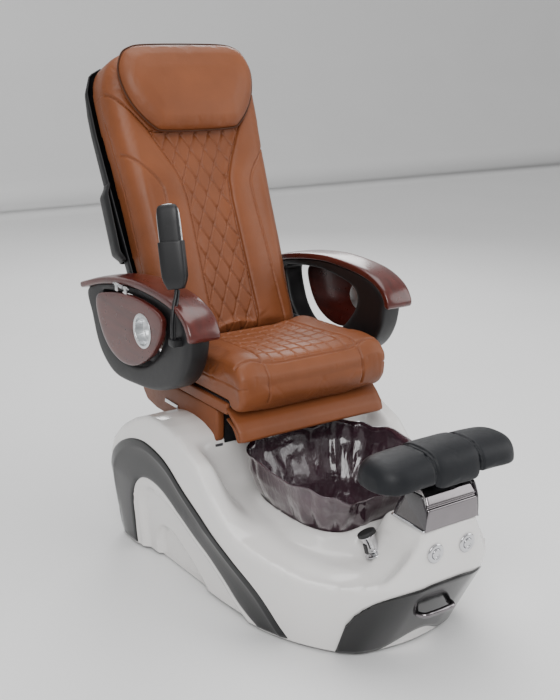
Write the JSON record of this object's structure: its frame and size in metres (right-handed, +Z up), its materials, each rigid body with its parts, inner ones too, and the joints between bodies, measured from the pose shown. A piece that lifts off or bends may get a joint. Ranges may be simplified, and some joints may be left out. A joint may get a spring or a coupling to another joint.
{
  "type": "pedicure spa chair",
  "caption": "Pedicure spa chair: reclining massage seat with folding trays on a white moulded tub, with a smoked foot basin, sprayer and padded footrest.",
  "frame": {"origin": "on the floor, under the middle of the chair's overall box", "axes": "+Z up, the front of the chair towards -Y, the sitter's left towards +X"},
  "size_m": [0.814, 1.4779, 1.4816],
  "materials": {
    "tub_white": "glossy pearl white gelcoat",
    "gloss_black": "gloss black lacquer",
    "satin_black": "satin black moulding",
    "chrome": "polished",
    "smoked_basin": "smoked, rippled inside",
    "smoked_clear": "smoked, clear",
    "caramel_leather": "satin, stitched",
    "charcoal_leather": "satin, stitched",
    "cherry_wood": "gloss lacquer",
    "frame_steel": "satin powder coat",
    "black_rubber": "matte",
    "grey_plastic": "matte"
  },
  "bodies": {
    "tub": {"tub_shell": "tub_white", "arch_trims": "gloss_black", "toe_panel": "gloss_black", "toe_handle": "chrome", "basin": "smoked_basin", "drain_flange": "chrome", "jet_housing": "chrome", "sprayer_socket": "chrome", "button_bezels": "chrome", "footrest_base": "chrome", "footrest_cheeks": "smoked_clear", "base_frame": "frame_steel", "levelling_feet": "black_rubber", "drain_pump": "grey_plastic", "control_box": "grey_plastic", "seat_plinth": "satin_black", "plinth_sides": "caramel_leather", "plinth_pulls": "chrome", "rails_outer": "frame_steel"},
    "drain_stopper": {"drain_stopper": "chrome"},
    "jet_impeller": {"jet_impeller": "grey_plastic"},
    "sprayer": {"sprayer_body": "chrome", "sprayer_face": "black_rubber"},
    "sprayer_trigger": {"sprayer_trigger": "black_rubber"},
    "air_button_left": {"air_button_left": "chrome"},
    "air_button_right": {"air_button_right": "chrome"},
    "footrest_carrier": {"footrest_slider": "chrome"},
    "footrest": {"footrest_board": "frame_steel", "footrest_pad_middle": "charcoal_leather", "footrest_pad_wings": "charcoal_leather"},
    "seat": {"seat_pan": "frame_steel", "seat_cushion": "caramel_leather", "seat_sides": "caramel_leather", "apron": "caramel_leather", "rails_inner": "frame_steel", "arm_pivots": "frame_steel"},
    "backrest": {"back_panel": "caramel_leather", "back_bolsters": "caramel_leather", "back_yoke": "caramel_leather", "back_sides": "caramel_leather", "head_pillow": "caramel_leather", "back_shell": "satin_black", "motor_cover": "satin_black", "back_frame": "frame_steel"},
    "massage_carriage": {"massage_carriage": "frame_steel", "massage_rollers": "black_rubber"},
    "arm_left": {"arm_pad_left": "cherry_wood", "arm_shell_left": "satin_black", "arm_hardware_left": "chrome"},
    "arm_right": {"arm_pad_right": "cherry_wood", "arm_shell_right": "satin_black", "arm_hardware_right": "chrome", "remote_stem": "satin_black", "remote_holder": "satin_black"},
    "tray_left": {"tray_board_left": "cherry_wood", "tray_fittings_left": "chrome"},
    "tray_right": {"tray_board_right": "cherry_wood", "tray_fittings_right": "chrome"},
    "remote": {"remote_body": "satin_black"}
  },
  "joints": [
    {"name": "drain_stopper_lift", "type": "slide", "parent": "tub", "child": "drain_stopper", "axis": [0, 0, 1], "range_m": [0, 0.012]},
    {"name": "jet_spin", "type": "hinge", "parent": "tub", "child": "jet_impeller", "pos_m": [0, -0.193, 0.15], "axis": [0, 0, 1], "continuous": true},
    {"name": "sprayer_lift_out", "type": "slide", "parent": "tub", "child": "sprayer", "axis": [-0.4199, 0.04, 0.9067], "range_m": [0, 0.08]},
    {"name": "sprayer_trigger_press", "type": "hinge", "parent": "sprayer", "child": "sprayer_trigger", "pos_m": [-0.13939, -0.55302, 0.30027], "axis": [-0.0168, -0.9992, 0.0363], "range_deg": [0, 5], "stiffness_Nm_per_rad": 0.4, "springref_deg": -2.86},
    {"name": "air_button_left_press", "type": "slide", "parent": "tub", "child": "air_button_left", "axis": [0, 1, 0], "range_m": [0, 0.004], "stiffness_N_per_m": 600, "springref_m": -0.001},
    {"name": "air_button_right_press", "type": "slide", "parent": "tub", "child": "air_button_right", "axis": [0, 1, 0], "range_m": [0, 0.004], "stiffness_N_per_m": 600, "springref_m": -0.001},
    {"name": "footrest_lift", "type": "slide", "parent": "tub", "child": "footrest_carrier", "axis": [0, 0, 1], "range_m": [0, 0.045]},
    {"name": "footrest_tilt", "type": "hinge", "parent": "footrest_carrier", "child": "footrest", "pos_m": [0, -0.655, 0.496], "axis": [1, 0, 0], "range_deg": [-18, 18]},
    {"name": "seat_slide", "type": "slide", "parent": "tub", "child": "seat", "axis": [0, -1, 0], "range_m": [-0.04, 0.045]},
    {"name": "backrest_recline", "type": "hinge", "parent": "seat", "child": "backrest", "pos_m": [0, 0.325, 0.6], "axis": [-1, 0, 0], "range_deg": [0, 25]},
    {"name": "massage_travel", "type": "slide", "parent": "backrest", "child": "massage_carriage", "axis": [0, 0.4067, 0.9135], "range_m": [-0.2, 0.15]},
    {"name": "arm_left_lift", "type": "hinge", "parent": "seat", "child": "arm_left", "pos_m": [0.34, 0.429, 0.622], "axis": [-1, 0, 0], "range_deg": [0, 55]},
    {"name": "arm_right_lift", "type": "hinge", "parent": "seat", "child": "arm_right", "pos_m": [-0.34, 0.429, 0.622], "axis": [-1, 0, 0], "range_deg": [0, 55]},
    {"name": "tray_left_fold", "type": "hinge", "parent": "arm_left", "child": "tray_left", "pos_m": [0.397, 0.264, 0.836], "axis": [0, -1, 0], "range_deg": [0, 90]},
    {"name": "tray_right_fold", "type": "hinge", "parent": "arm_right", "child": "tray_right", "pos_m": [-0.397, 0.264, 0.836], "axis": [0, 1, 0], "range_deg": [0, 90]},
    {"name": "remote_lift_out", "type": "slide", "parent": "arm_right", "child": "remote", "axis": [0, 0.225, 0.9744], "range_m": [0, 0.1]}
  ]
}
